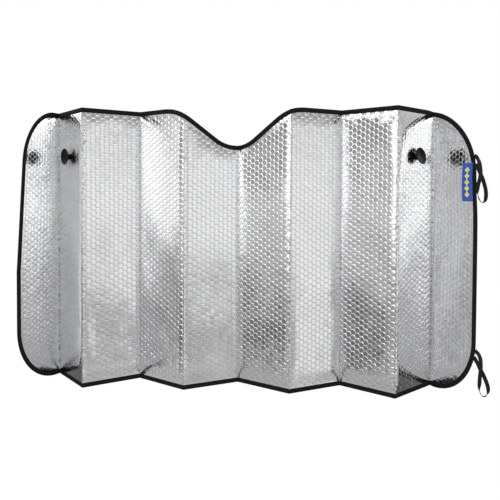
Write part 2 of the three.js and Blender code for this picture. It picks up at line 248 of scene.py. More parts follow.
# A stretch of the outline: each gives points and inward normals, and the nearest of them
class Arc:
    """From one angle to another; a clockwise arc is a hollow in the outline."""

    def __init__(self, centre, radius, start, end):
        self.centre = np.array(centre)
        self.radius = radius
        self.angles = np.radians([start, end])
        self.inward = 1.0 if start > end else -1.0
        self.length = radius * math.radians(abs(end - start))

    def at(self, angles):
        rays = np.stack([np.cos(angles), np.sin(angles)], axis=-1)
        return self.centre + self.radius * rays, self.inward * rays

    def sample(self, count):
        return self.at(np.linspace(*self.angles, count + 1)[:-1])

    def nearest(self, flat):
        way = flat - self.centre
        middle = self.angles.mean()
        angles = np.arctan2(way[:, 1], way[:, 0])
        angles = (angles - middle + math.pi) % (2 * math.pi) - math.pi + middle
        return self.at(np.clip(angles, self.angles.min(), self.angles.max()))


class Straight:
    def __init__(self, first, last):
        self.first = np.array(first)
        self.run = np.array(last) - self.first
        self.length = float(np.hypot(*self.run))
        self.normal = np.array([-self.run[1], self.run[0]]) / self.length

    def at(self, shares):
        points = self.first + shares[:, None] * self.run
        return points, np.tile(self.normal, (len(shares), 1))

    def sample(self, count):
        return self.at(np.linspace(0, 1, count + 1)[:-1])

    def nearest(self, flat):
        shares = (flat - self.first) @ self.run / self.length ** 2
        return self.at(np.clip(shares, 0, 1))


def make_outline():
    """The finished outline, anticlockwise from the lower left."""
    slope = math.degrees(NOTCH_SLOPE)
    radii = NOTCH_FLOOR + NOTCH_SHOULDER
    flank_run = (NOTCH_DEPTH - radii * (1 - math.cos(NOTCH_SLOPE))) / math.tan(NOTCH_SLOPE)
    half_width = radii * math.sin(NOTCH_SLOPE) + flank_run
    floor_z = SHADE_HEIGHT - NOTCH_DEPTH + NOTCH_FLOOR
    shoulder_z = SHADE_HEIGHT - NOTCH_SHOULDER
    foot_run = NOTCH_FLOOR * math.sin(NOTCH_SLOPE)
    foot_z = floor_z - NOTCH_FLOOR * math.cos(NOTCH_SLOPE)
    brow_run = half_width - NOTCH_SHOULDER * math.sin(NOTCH_SLOPE)
    brow_z = shoulder_z + NOTCH_SHOULDER * math.cos(NOTCH_SLOPE)
    middle, right, top = NOTCH_CENTRE, SHADE_WIDTH, SHADE_HEIGHT
    low, left_high, right_high = BOTTOM_CORNER, LEFT_TOP_CORNER, RIGHT_TOP_CORNER
    return [
        Straight((low, 0), (right - low, 0)),
        Arc((right - low, low), low, -90, 0),
        Straight((right, low), (right, top - right_high)),
        Arc((right - right_high, top - right_high), right_high, 0, 90),
        Straight((right - right_high, top), (middle + half_width, top)),
        Arc((middle + half_width, shoulder_z), NOTCH_SHOULDER, 90, 90 + slope),
        Straight((middle + brow_run, brow_z), (middle + foot_run, foot_z)),
        Arc((middle, floor_z), NOTCH_FLOOR, -90 + slope, -90 - slope),
        Straight((middle - foot_run, foot_z), (middle - brow_run, brow_z)),
        Arc((middle - half_width, shoulder_z), NOTCH_SHOULDER, 90 - slope, 90),
        Straight((middle - half_width, top), (left_high, top)),
        Arc((left_high, top - left_high), left_high, 90, 180),
        Straight((0, top - left_high), (0, low)),
        Arc((low, low), low, 180, 270),
    ]


OUTLINE = make_outline()


def outline_points(step):
    """The outline's points and inward normals, about a step apart."""
    samples = [run.sample(max(2, round(run.length / step))) for run in OUTLINE]
    points, normals = zip(*samples)
    return np.concatenate(points), np.concatenate(normals)


def inset_from_outline(flat):
    """How far each flat point lies inside the outline, and the nearest outline point."""
    nearest = np.zeros_like(flat)
    normals = np.zeros_like(flat)
    least = np.full(len(flat), np.inf)
    for run in OUTLINE:
        run_points, run_normals = run.nearest(flat)
        distance = np.hypot(*(flat - run_points).T)
        closer = distance < least
        least[closer] = distance[closer]
        nearest[closer] = run_points[closer]
        normals[closer] = run_normals[closer]
    inset = np.sum((flat - nearest) * normals, axis=1)
    return inset, nearest, normals


def smooth(value, low, high):
    share = np.clip((value - low) / (high - low), 0, 1)
    return share * share * (3 - 2 * share)


def from_fold(u):
    """The distance past the bend of the nearest fold."""
    return np.min([np.abs(u - centre) - half for centre, half in FOLDS], axis=0)


def inner_share(u):
    """0 in the two outer panels at each side, and 1 in the panels between them."""
    return smooth(np.minimum(u, SHADE_WIDTH - u) / PANEL_WIDTH, *OUTER_FADE)


def film_waves(u, z):
    """Slow waves in the film, as a sum of a few plane waves."""
    draw = np.random.default_rng(WAVE_SEED)
    total = np.zeros_like(u)
    for _ in range(WAVE_COUNT):
        length = draw.uniform(*WAVE_LENGTHS)
        way = draw.uniform(0, math.pi)
        phase = draw.uniform(0, 2 * math.pi)
        height = WAVE_HEIGHT * (length / WAVE_BASE) ** WAVE_GROWTH
        along = u * math.cos(way) + z * math.sin(way)
        total += height * np.sin(2 * math.pi * along / length + phase)
    return total


def film_sway(u, z, inset):
    """How far the film's middle waves: least at the folds, the binding and the cups."""
    sway = smooth(from_fold(u), 0, SWAY_FROM_FOLD)
    sway = sway * smooth(inset, BINDING_WIDTH, SWAY_INSET)
    for cup_u in CUP_PLACES:
        from_cup = np.hypot(u - cup_u, z - SHADE_HEIGHT + CUP_DROP)
        sway = sway * smooth(from_cup, *SWAY_FROM_CUP)
    return sway * film_waves(u, z)


def new_object(name, mesh, material, smooth_faces=True):
    piece = bpy.data.objects.new(name, mesh)
    bpy.context.scene.collection.objects.link(piece)
    mesh.materials.append(material)
    if smooth_faces:
        mesh.polygons.foreach_set("use_smooth", [True] * len(mesh.polygons))
    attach(piece, "root")
    return piece


def cloth_places(mesh, places):
    """Keeps each vertex's place on its cloth, in metres, for the weave to follow."""
    cloth = mesh.attributes.new("cloth", "FLOAT_VECTOR", "POINT")
    cloth.data.foreach_set("vector", np.column_stack([places, np.zeros(len(places))]).ravel())


def mesh_from(name, vertices, faces):
    mesh = bpy.data.meshes.new(name)
    mesh.from_pydata([tuple(v) for v in vertices], [], [tuple(f) for f in faces])
    mesh.update()
    return mesh


# Honeycomb cells with a low bubble in each: six shared corners in the seam, and a slightly
# domed cap of six with its own height and tilt. The third number of a vertex is its height.
def bubble_cells(rng, first_column):
    column_step = BUBBLE_PITCH * math.sqrt(3) / 2
    corner_reach = BUBBLE_PITCH / math.sqrt(3)
    columns = int(SHADE_WIDTH / column_step) + 3
    rows = int(SHADE_HEIGHT / BUBBLE_PITCH) + 3
    column, row = np.meshgrid(np.arange(-1, columns), np.arange(-1, rows), indexing="ij")
    column, row = column.ravel(), row.ravel()
    centres = np.stack([
        (column + first_column) * column_step,
        (row + 0.5 * (column % 2)) * BUBBLE_PITCH,
    ], axis=-1)
    angles = np.radians(np.arange(6) * 60)
    rays = np.stack([np.cos(angles), np.sin(angles)], axis=-1)
    corners = centres[:, None] + corner_reach * rays
    caps = centres[:, None] + BUBBLE_REACH * rays
    key_scale = 1e5
    keys = np.round(corners.reshape(-1, 2) * key_scale).astype(np.int64)
    unique_keys, corner_index = np.unique(keys, axis=0, return_inverse=True)
    corner_index = corner_index.reshape(-1, 6)
    count = len(centres)
    outer = 1 - inner_share(centres[:, :1])
    wild = 1 + OUTER_WILDNESS * outer
    domes = BUBBLE_DOME + OUTER_DOME * outer
    heights = 1 - RIM_DROP * domes + rng.uniform(-BUBBLE_SPREAD, BUBBLE_SPREAD, (count, 1))
    tilts = rng.uniform(-1, 1, (count, 2)) * BUBBLE_TILT * wild
    puckers = rng.uniform(-1, 1, (count, 6)) * BUBBLE_PUCKER * wild
    rise = heights + tilts @ rays.T + puckers
    tops = heights + domes * rng.uniform(*TOP_RANGE, (count, 1))
    corner_points = np.column_stack([unique_keys / key_scale, np.zeros(len(unique_keys))])
    rim_points = np.column_stack([caps.reshape(-1, 2), rise.ravel()])
    top_points = np.column_stack([centres, tops])
    rim = len(corner_points) + np.arange(count * 6).reshape(-1, 6)
    top = len(corner_points) + count * 6 + np.repeat(np.arange(count)[:, None], 6, axis=1)
    after_rim = np.roll(rim, -1, axis=1)
    slopes = np.stack([corner_index, np.roll(corner_index, -1, axis=1), after_rim, rim], axis=-1)
    wedges = np.stack([rim, after_rim, top], axis=-1)
    points = np.concatenate([corner_points, rim_points, top_points])
    return points, slopes.reshape(-1, 4), wedges.reshape(-1, 3)


def cut_along_folds(mesh, is_cap):
    """Cuts a flat mesh along the lines where the sheet starts, holds and ends a bend, and
    marks the rims of its caps as sharp."""
    reach = 0.012
    centres = np.empty(len(mesh.polygons) * 3)
    mesh.polygons.foreach_get("center", centres)
    face_u = centres.reshape(-1, 3)[:, 0]
    mesh.polygons.foreach_set("material_index", is_cap.astype(np.int32))
    solid = bmesh.new()
    solid.from_mesh(mesh)
    solid.faces.ensure_lookup_table()
    near = [
        [solid.faces[i] for i in np.nonzero(np.abs(face_u - centre) < half + reach)[0]]
        for centre, half in FOLDS
    ]
    for (centre, half), some_faces in zip(FOLDS, near):
        geometry = list({e for f in some_faces for e in f.edges})
        geometry += list({v for f in some_faces for v in f.verts}) + some_faces
        for offset in (-half - BUBBLE_RAMP, -half, 0, half, half + BUBBLE_RAMP):
            cut = bmesh.ops.bisect_plane(
                solid, geom=geometry, dist=1e-6,
                plane_co=(centre + offset, 0, 0), plane_no=(1, 0, 0))
            geometry = cut["geom"]
    for edge in solid.edges:
        edge.smooth = len({f.material_index for f in edge.link_faces}) == 1
    for face in solid.faces:
        face.material_index = 0
    solid.to_mesh(mesh)
    solid.free()


def make_skin(name, side, seed, first_column, height, material):
    """One face of the film; side is 1 for the viewed face and -1 for the back."""
    rng = np.random.default_rng(seed)
    cells, slopes, caps = bubble_cells(rng, first_column)
    inside, _, _ = inset_from_outline(cells[:, :2])
    slopes, caps = (f[np.any(inside[f] > CUT_EDGE, axis=1)] for f in (slopes, caps))
    used = np.unique(np.concatenate([slopes.ravel(), caps.ravel()]))
    place = np.zeros(len(cells), int)
    place[used] = np.arange(len(used))
    flat_mesh = mesh_from(name, cells[used], place[slopes].tolist() + place[caps].tolist())
    cut_along_folds(flat_mesh, np.arange(len(slopes) + len(caps)) >= len(slopes))
    points = np.empty(len(flat_mesh.vertices) * 3)
    flat_mesh.vertices.foreach_get("co", points)
    points = points.reshape(-1, 3)
    inset, nearest, normals = inset_from_outline(points[:, :2])
    outside = inset < CUT_EDGE
    points[outside, :2] = nearest[outside] + CUT_EDGE * normals[outside]
    inset[outside] = CUT_EDGE
    u, z, rise = points.T
    past_fold = from_fold(u)
    at_edge = smooth(inset, BINDING_WIDTH - BINDING_LAP, BINDING_WIDTH + EDGE_RAMP)
    at_fold = smooth(past_fold, 0, CREASE_RAMP)
    swollen = smooth(inset, BINDING_WIDTH - BINDING_LAP, BINDING_WIDTH + SWELL_RAMP)
    fullness = np.minimum(swollen, at_fold)
    blown = at_edge
    for share in (smooth(past_fold, 0, BUBBLE_RAMP), smooth(z, *FOOT_FADE)):
        blown = blown * (LEAST_BLOWN + (1 - LEAST_BLOWN) * share)
    seam = PANEL_HALF - height / 2
    w = PRESSED_HALF + fullness * (seam - PRESSED_HALF) + blown * height * rise
    crumpled = np.maximum(
        FOLD_CRUMPLE * (1 - smooth(past_fold, 0, FOLD_CRUMPLE_REACH)),
        1 - smooth(inset, *EDGE_CRUMPLE_FADE),
    )
    crumpled = crumpled * at_edge * rng.uniform(-1, 1, len(u)) * CRUMPLE
    placed = fold(u, z, side * (w + crumpled) + film_sway(u, z, inset))
    flat_mesh.vertices.foreach_set("co", placed.ravel())
    if side < 0:
        flat_mesh.flip_normals()
    # Painted shade: the film's colour is darkened towards the seams between bubbles, less so on
    # the two outer panels at each side, and in random spots along the folds, for the shade in
    # these hollows
    seam_shade = np.clip(1 - rise / SEAM_SHADE_RISE, 0, 1)
    seam_shade = seam_shade * rng.uniform(*SEAM_SHADE_DEPTHS, len(u))
    seam_shade = seam_shade * (OUTER_SEAM_SHADE + (1 - OUTER_SEAM_SHADE) * inner_share(u))
    crease_shade_spots = rng.uniform(0, 1, len(u)) ** CREASE_SHADE_SPOTS
    crease_shade = (1 - smooth(past_fold, *CREASE_SHADE_LINE)) * crease_shade_spots
    painted_seam_and_crease_shade = flat_mesh.attributes.new("painted_seam_and_crease_shade", "FLOAT", "POINT")
    painted_seam_and_crease_shade.data.foreach_set("value", np.maximum(seam_shade * at_edge, crease_shade))
    flat_mesh.update()
    piece = new_object(name, flat_mesh, material)
    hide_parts("foil_sheet")
    return piece


# Materials
def new_material(name):
    material = bpy.data.materials.new(name)
    material.use_nodes = True
    nodes = material.node_tree.nodes
    return material, nodes, material.node_tree.links, nodes["Principled BSDF"]


def add_node(nodes, kind, **settings):
    node = nodes.new(kind)
    for key, value in settings.items():
        if key in node.inputs:
            node.inputs[key].default_value = value
        else:
            setattr(node, key, value)
    return node


def math_node(nodes, links, operation, first, second=None):
    node = add_node(nodes, "ShaderNodeMath", operation=operation)
    for socket, value in zip(node.inputs, (first, second)):
        if isinstance(value, (int, float)):
            socket.default_value = value
        elif value is not None:
            links.new(value, socket)
    return node.outputs[0]


def cloth_place(nodes, links):
    """The two places on the cloth, in metres."""
    place = add_node(nodes, "ShaderNodeAttribute", attribute_name="cloth")
    parts = add_node(nodes, "ShaderNodeSeparateXYZ")
    links.new(place.outputs["Vector"], parts.inputs["Vector"])
    return parts.outputs["X"], parts.outputs["Y"]


def add_weave(nodes, links, shader, pitch, depth):
    """A plain weave: two crossed sets of threads as a bump."""
    heights = []
    for place in cloth_place(nodes, links):
        turns = math_node(nodes, links, "MULTIPLY", place, 2 * math.pi / pitch)
        heights.append(math_node(nodes, links, "SINE", turns))
    weave = math_node(nodes, links, "MULTIPLY", *heights)
    bump = add_node(nodes, "ShaderNodeBump", Strength=1.0, Distance=depth)
    links.new(weave, bump.inputs["Height"])
    links.new(bump.outputs["Normal"], shader.inputs["Normal"])


def foil_material():
    material, nodes, links, shader = new_material("foil_film")
    shader.inputs["Metallic"].default_value = 1.0
    # Painted shade: the seam and crease attribute darkens the film's colour towards the dark grey
    # below, standing in for the shade in the seams between bubbles and along the folds
    painted_seam_and_crease_shade = add_node(nodes, "ShaderNodeAttribute", attribute_name="painted_seam_and_crease_shade")
    depth = math_node(nodes, links, "POWER", painted_seam_and_crease_shade.outputs["Fac"], 1.6)
    colour = add_node(nodes, "ShaderNodeMix", data_type="RGBA")
    links.new(depth, colour.inputs["Factor"])
    colour.inputs[6].default_value = (0.88, 0.885, 0.89, 1)
    # the dark grey of the painted shade in the seams and creases
    colour.inputs[7].default_value = (0.16, 0.16, 0.165, 1)
    links.new(colour.outputs[2], shader.inputs["Base Color"])
    place = add_node(nodes, "ShaderNodeTexCoord")
    haze = add_node(nodes, "ShaderNodeTexNoise", Scale=60.0, Detail=4.0)
    links.new(place.outputs["Object"], haze.inputs["Vector"])
    gloss = add_node(nodes, "ShaderNodeMapRange")
    gloss.inputs["From Min"].default_value = 0.3
    gloss.inputs["From Max"].default_value = 0.7
    gloss.inputs["To Min"].default_value = 0.09
    gloss.inputs["To Max"].default_value = 0.15
    links.new(haze.outputs["Fac"], gloss.inputs["Value"])
    links.new(gloss.outputs["Result"], shader.inputs["Roughness"])
    crinkle = add_node(nodes, "ShaderNodeTexNoise", Scale=420.0, Detail=5.0, Roughness=0.6)
    links.new(place.outputs["Object"], crinkle.inputs["Vector"])
    bump = add_node(nodes, "ShaderNodeBump", Strength=0.15, Distance=0.0006)
    links.new(crinkle.outputs["Fac"], bump.inputs["Height"])
    links.new(bump.outputs["Normal"], shader.inputs["Normal"])
    return material


def dark_material(name, colour, roughness, specular, weave=None):
    """A near black material; weave gives the pitch and the depth of its threads."""
    material, nodes, links, shader = new_material(name)
    if weave:
        add_weave(nodes, links, shader, *weave)
    shader.inputs["Base Color"].default_value = (*colour, 1)
    shader.inputs["Roughness"].default_value = roughness
    shader.inputs["Specular IOR Level"].default_value = specular
    return material


def tape_material():
    return dark_material("binding_tape", (0.006, 0.006, 0.0065), 0.9, 0.2, (0.0012, 0.00012))


def vinyl_material():
    return dark_material("cup_vinyl", (0.004, 0.004, 0.0045), 0.35, 0.14)


def elastic_material():
    return dark_material("elastic", (0.006, 0.006, 0.0065), 0.8, 0.3, (0.0016, 0.0002))


# The label's motif: diamonds a step apart, with their half sizes, and dots between them
LABEL_MOTIF_STEP = 0.0124
DIAMOND_HALF_WIDTH = 0.0062
DIAMOND_HALF_HEIGHT = 0.0056
DIAMOND_HOLLOW = 0.30
DOT_RADIUS = 0.0011
MOTIF_STEPS = 2.45


def label_material():
    """Blue cloth with a plain woven column of yellow diamonds, hollow in the middle, and
    small dots between them."""
    material, nodes, links, shader = new_material("label_cloth")
    add_weave(nodes, links, shader, 0.0008, 0.00008)
    shader.inputs["Roughness"].default_value = 0.6
    across, up = cloth_place(nodes, links)

    def maths(operation, first, second=None):
        return math_node(nodes, links, operation, first, second)

    def from_centre(shift):
        steps = maths("ADD", maths("DIVIDE", up, LABEL_MOTIF_STEP), shift)
        rest = maths("ABSOLUTE", maths("SUBTRACT", steps, maths("ROUND", steps)))
        return maths("MULTIPLY", rest, LABEL_MOTIF_STEP)

    sideways = maths("ABSOLUTE", across)
    wide = maths("DIVIDE", sideways, DIAMOND_HALF_WIDTH)
    reach = maths("ADD", wide, maths("DIVIDE", from_centre(0.0), DIAMOND_HALF_HEIGHT))
    hollow = maths("GREATER_THAN", reach, DIAMOND_HOLLOW)
    diamond = maths("MULTIPLY", maths("LESS_THAN", reach, 1.0), hollow)
    between = maths("POWER", from_centre(0.5), 2.0)
    from_dot = maths("ADD", maths("POWER", sideways, 2.0), between)
    dot = maths("LESS_THAN", from_dot, DOT_RADIUS ** 2)
    within = maths("LESS_THAN", maths("ABSOLUTE", up), MOTIF_STEPS * LABEL_MOTIF_STEP)
    motif = maths("MULTIPLY", maths("MAXIMUM", diamond, dot), within)
    colour = add_node(nodes, "ShaderNodeMix", data_type="RGBA")
    links.new(motif, colour.inputs["Factor"])
    colour.inputs[6].default_value = (0.022, 0.085, 0.44, 1)
    colour.inputs[7].default_value = (0.86, 0.78, 0.02, 1)
    links.new(colour.outputs[2], shader.inputs["Base Color"])
    return material


# The binding: tape folded over the edge, rounded at the fold of the tape
def make_binding(material):
    points, normals = outline_points(OUTLINE_STEP)
    leg_insets = np.linspace(BINDING_WIDTH, TAPE_CURL, 6)
    outer = [(inset, BINDING_OUTER) for inset in leg_insets]
    for degrees in (60, 30, 0, -30, -60):
        angle = math.radians(degrees)
        curl_inset = TAPE_CURL - TAPE_CURL * math.cos(angle)
        outer.append((curl_inset, BINDING_OUTER * math.sin(angle)))
    outer += [(inset, -BINDING_OUTER) for inset in leg_insets[::-1]]
    inner = [
        (BINDING_WIDTH, -BINDING_INNER), (TAPE_INSIDE, -BINDING_INNER),
        (TAPE_INSIDE, BINDING_INNER), (BINDING_WIDTH, BINDING_INNER),
    ]
    profile = np.array(outer + inner)
    insets, across = profile.T
    u = points[:, :1] + normals[:, :1] * insets
    z = points[:, 1:] + normals[:, 1:] * insets
    placed = fold(u, z, np.broadcast_to(across, u.shape))
    stations, count = u.shape
    index = np.arange(stations * count).reshape(stations, count)
    after = np.roll(index, -1, axis=0)
    quads = np.stack([
        index, np.roll(index, -1, axis=1), np.roll(after, -1, axis=1), after,
    ], axis=-1).reshape(-1, 4)
    mesh = mesh_from("edge_binding_tape", placed.reshape(-1, 3), quads)
    run = np.cumsum(np.hypot(*(points - np.roll(points, 1, axis=0)).T))
    reach = np.cumsum(np.hypot(*(profile - np.roll(profile, 1, axis=0)).T))
    cloth_places(mesh, np.stack(np.meshgrid(run, reach, indexing="ij"), axis=-1).reshape(-1, 2))
    piece = new_object("edge_binding_tape", mesh, material)
    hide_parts("edge_binding")
    return piece


def make_stitches(material):
    """A row of lockstitches through the binding, on both faces."""
    points, normals = outline_points(STITCH_STEP)
    along = np.roll(points, -1, axis=0) - points
    along /= np.linalg.norm(along, axis=1)[:, None]
    # Each corner of a stitch: its run in metres, and its place across and up in half widths
    corners = [
        (0.0004, -1, 0), (0.0030, -1, 0), (0.0030, 1, 0), (0.0004, 1, 0),
        (0.0008, -0.6, 1), (0.0026, -0.6, 1), (0.0026, 0.6, 1), (0.0008, 0.6, 1),
    ]
    box = [(3, 2, 1, 0), (4, 5, 6, 7), (0, 1, 5, 4), (1, 2, 6, 5), (2, 3, 7, 6), (3, 0, 4, 7)]
    vertices, faces = [], []
    for side in (1, -1):
        rings = []
        for run, across, up in corners:
            flat = points + along * run + normals * (STITCH_INSET + across * STITCH_HALF)
            w = side * (BINDING_OUTER - STITCH_SINK + STITCH_HALF * up)
            rings.append(fold(flat[:, 0], flat[:, 1], np.full(len(flat), w)))
        first = len(vertices) * 8 * len(points)
        vertices.append(np.stack(rings, axis=1).reshape(-1, 3))
        starts = first + 8 * np.arange(len(points))[:, None]
        for quad in box:
            faces.append(starts + np.array(quad[::side]))
    mesh = mesh_from("binding_stitches", np.concatenate(vertices), np.concatenate(faces))
    cloth_places(mesh, np.zeros((len(mesh.vertices), 2)))
    piece = new_object("binding_stitches", mesh, material, smooth_faces=False)
    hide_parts("edge_binding")
    return piece


# The suction cups: one moulded profile turned about its axis
CUP_PROFILE = [
    (0.0000, -0.0063), (0.0036, -0.0063), (0.0052, -0.0056), (0.0061, -0.0042),
    (0.0062, -0.0030), (0.0058, -0.0022), (0.0037, -0.0021), (0.0037, 0.0021),
    (0.0060, 0.0021), (0.0065, 0.0025), (0.0065, 0.0034), (0.0060, 0.0037),
    (0.0051, 0.0040), (0.0050, 0.0050), (0.0056, 0.0057), (0.0085, 0.0074),
    (0.0120, 0.0093), (0.0150, 0.0110), (0.0172, 0.0123), (0.0179, 0.0129),
    (0.0179, 0.0134), (0.0172, 0.0135), (0.0164, 0.0133), (0.0150, 0.0124),
    (0.0120, 0.0106), (0.0082, 0.0090), (0.0042, 0.0081), (0.0000, 0.0080),
]


def turned_surface(name, profile, segments):
    """A profile of (radius, height) turned about the z axis, closed at both ends."""
    angles = np.linspace(0, 2 * math.pi, segments, endpoint=False)
    vertices, faces = [], []
    rings = []
    for radius, height in profile:
        if radius == 0:
            rings.append([len(vertices)])
            vertices.append((0, 0, height))
            continue
        rings.append(list(range(len(vertices), len(vertices) + segments)))
        vertices += [(radius * math.cos(a), radius * math.sin(a), height) for a in angles]
    for lower, upper in zip(rings, rings[1:]):
        for side in range(segments):
            after = (side + 1) % segments
            corners = [lower[side % len(lower)], lower[after % len(lower)],
                       upper[after % len(upper)], upper[side % len(upper)]]
            faces.append(list(dict.fromkeys(corners)))
    return mesh_from(name, vertices, faces)


def make_cup(node, name, u, lean, yaw, material):
    """A cup on the film; past its collar it leans up and to the right by two angles."""
    mesh = turned_surface(name, CUP_PROFILE, CUP_SEGMENTS)
    hinge = 0.004
    neck = 0.002
    for vertex in mesh.vertices:
        share = float(smooth(vertex.co.z, hinge, hinge + neck))
        leaning = Matrix.Rotation(yaw * share, 3, "Y") @ Matrix.Rotation(-lean * share, 3, "X")
        vertex.co = leaning @ (vertex.co - Vector((0, 0, hinge))) + Vector((0, 0, hinge))
    centre = fold([u], SHADE_HEIGHT - CUP_DROP, 0)[0]
    heading = middle_line_at(np.array([u]))[2][0]
    facing = Vector((math.sin(heading), -math.cos(heading), 0))
    turn = facing.to_track_quat("Z", "Y").to_matrix().to_4x4()
    mesh.transform(Matrix.Translation(centre) @ turn)
    piece = new_object(name, mesh, material)
    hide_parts(node)


# The elastic loops, as flat bands. Their routes follow the photo and lie up to 11 mm from
# the CAD model's. Each gives the heights of the band's two ends, and then the points that
# it passes, in millimetres across, in depth and in height from the first end.
BAND_WIDTH = 0.008
BAND_THICKNESS = 0.001
CLEARANCE = 0.0003
BAND_STEP = 0.002
BAND_LEADS = [0, 0.002, 0.004]
ACROSS_RUN = 0.014
DEEP_RUN = (0.066, 0.098)
LOOP_ROUTES = {
    "elastic_loop_upper": (0.497, 0.480, [
        (3.6, -9.5, -8.0), (4.8, -13.5, -14.0), (5.2, -17.0, -22.0), (4.9, -21.0, -33.0),
        (3.0, -23.0, -46.0), (0.3, -23.0, -55.9), (-0.6, -22.0, -65.8), (0.7, -20.0, -77.7),
        (4.5, -18.0, -87.6), (10.5, -16.0, -93.0), (16.5, -15.0, -88.4), (18.7, -14.0, -78.6),
        (17.9, -13.5, -67.6), (15.6, -13.0, -57.7), (12.2, -13.0, -46.7), (7.9, -12.5, -36.7),
        (4.6, -11.0, -28.5),
    ]),
    "elastic_loop_lower": (0.110, 0.097, [
        (3.6, -8.5, -6.6), (5.0, -11.5, -11.5), (5.4, -14.0, -16.3), (4.9, -17.0, -25.5),
        (4.5, -18.0, -35.2), (3.6, -17.0, -47.6), (3.8, -15.0, -60.3), (4.7, -12.0, -71.4),
        (7.1, -9.5, -81.4), (11.1, -7.5, -88.1), (17.7, -6.0, -90.8), (23.0, -5.0, -86.8),
        (25.1, -4.5, -78.8), (23.5, -4.5, -69.6), (18.7, -5.0, -57.3), (14.0, -5.5, -47.1),
        (8.5, -6.5, -37.7), (4.2, -7.2, -28.5),
    ]),
}


def unit(vector):
    return vector / np.linalg.norm(vector)


def right_edge_at(z):
    above = max(0.0, z - (SHADE_HEIGHT - RIGHT_TOP_CORNER))
    below = max(0.0, BOTTOM_CORNER - z)
    top_inset = RIGHT_TOP_CORNER - math.sqrt(RIGHT_TOP_CORNER ** 2 - above ** 2)
    bottom_inset = BOTTOM_CORNER - math.sqrt(BOTTOM_CORNER ** 2 - below ** 2)
    return fold([SHADE_WIDTH - top_inset - bottom_inset], z, 0)[0]


def band_end(z):
    """Where a band leaves the side binding, its way out, and the edge's way up."""
    above, below = right_edge_at(z + BAND_WIDTH / 2), right_edge_at(z - BAND_WIDTH / 2)
    heading = math.radians(PANEL_TURNS[-1])
    up_edge = unit(above - below)
    outward = unit(np.cross(up_edge, (math.sin(heading), -math.cos(heading), 0)))
    return (above + below) / 2 + CLEARANCE * outward, outward, up_edge


def curve_through(points, step):
    """A centripetal Catmull-Rom curve through the points, as points a step apart."""
    knots = np.concatenate([[2 * points[0] - points[1]], points, [2 * points[-1] - points[-2]]])
    fine = []
    for p0, p1, p2, p3 in zip(knots, knots[1:], knots[2:], knots[3:]):
        t1 = math.sqrt(np.linalg.norm(p1 - p0))
        t2 = t1 + math.sqrt(np.linalg.norm(p2 - p1))
        t3 = t2 + math.sqrt(np.linalg.norm(p3 - p2))
        t = np.linspace(t1, t2, 24)[:-1, None]
        a1 = (t1 - t) / t1 * p0 + t / t1 * p1
        a2 = (t2 - t) / (t2 - t1) * p1 + (t - t1) / (t2 - t1) * p2
        a3 = (t3 - t) / (t3 - t2) * p2 + (t - t2) / (t3 - t2) * p3
        b1 = (t2 - t) / t2 * a1 + t / t2 * a2
        b2 = (t3 - t) / (t3 - t1) * a2 + (t - t1) / (t3 - t1) * a3
        fine.append((t2 - t) / (t2 - t1) * b1 + (t - t1) / (t2 - t1) * b2)
    fine = np.concatenate(fine + [knots[-2:-1]])
    run = np.concatenate([[0], np.cumsum(np.linalg.norm(np.diff(fine, axis=0), axis=1))])
    places = np.linspace(0, run[-1], max(8, round(run[-1] / step)) + 1)
    return np.stack([np.interp(places, run, axis) for axis in fine.T], axis=-1), run[-1]


def loop_path(root_height, end_height, points):
    """The path of a band, its length, and the edge's way up at its two ends."""
    first, last = band_end(root_height), band_end(end_height)
    first_way = unit(0.75 * first[1] - 0.65 * first[2])
    last_way = unit(0.50 * last[1] - 0.85 * last[2])
    start = [first[0] + run * first_way for run in BAND_LEADS]
    middle = [first[0] + np.array(step) / 1000 for step in points]
    end = [last[0] + run * last_way for run in BAND_LEADS[::-1]]
    path, length = curve_through(np.array(start + middle + end), BAND_STEP)
    return path, length, first[2], last[2]


def make_loop(name, route, material):
    """A flat woven band with a slightly crowned face, along its path. Its width runs along
    the edge at its ends, then across, and in depth where it rounds its lowest place."""
    path, length, first_up, last_up = loop_path(*route)
    along = np.gradient(path, axis=0)
    along /= np.linalg.norm(along, axis=1)[:, None]
    share = np.linspace(0, 1, len(path))
    from_end = length * np.minimum(share, 1 - share)
    across_turn = smooth(from_end, 0, ACROSS_RUN)[:, None]
    deep_turn = smooth(from_end, *DEEP_RUN)[:, None]
    up_edge = np.where(share[:, None] < 0.5, first_up, last_up)
    width_way = up_edge * (1 - across_turn) + np.array([1, 0, 0]) * across_turn
    width_way = width_way / np.linalg.norm(width_way, axis=1)[:, None]
    width_way = width_way * (1 - deep_turn) + np.array([0, 1, 0]) * deep_turn
    width_way -= along * np.sum(width_way * along, axis=1)[:, None]
    width_way /= np.linalg.norm(width_way, axis=1)[:, None]
    thick_way = np.cross(along, width_way)
    section = []
    for across in np.linspace(-1, 1, 9):
        rib = 0.9 + 0.1 * math.cos(4 * math.pi * across)
        section.append((across, (1 - abs(across) ** 6) ** 0.5 * rib))
    ring = section + [(across, -depth) for across, depth in section[-2:0:-1]]
    half_width, half_depth = BAND_WIDTH / 2, BAND_THICKNESS / 2
    vertices = np.stack([
        path + across * half_width * width_way + depth * half_depth * thick_way
        for across, depth in ring
    ], axis=1)
    stations, count = vertices.shape[:2]
    faces = []
    for station in range(stations - 1):
        here, ahead = station * count, (station + 1) * count
        for point in range(count):
            beside = (point + 1) % count
            faces.append((here + point, here + beside, ahead + beside, ahead + point))
    faces.append(tuple(range(count))[::-1])
    faces.append(tuple((stations - 1) * count + point for point in range(count)))
    mesh = mesh_from(f"{name}_band", vertices.reshape(-1, 3), faces)
    sides = np.array([across * half_width for across, _ in ring])
    places = np.stack(np.meshgrid(share * length, sides, indexing="ij"), axis=-1)
    cloth_places(mesh, places.reshape(-1, 2))
    piece = new_object(f"{name}_band", mesh, material)
    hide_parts(name)


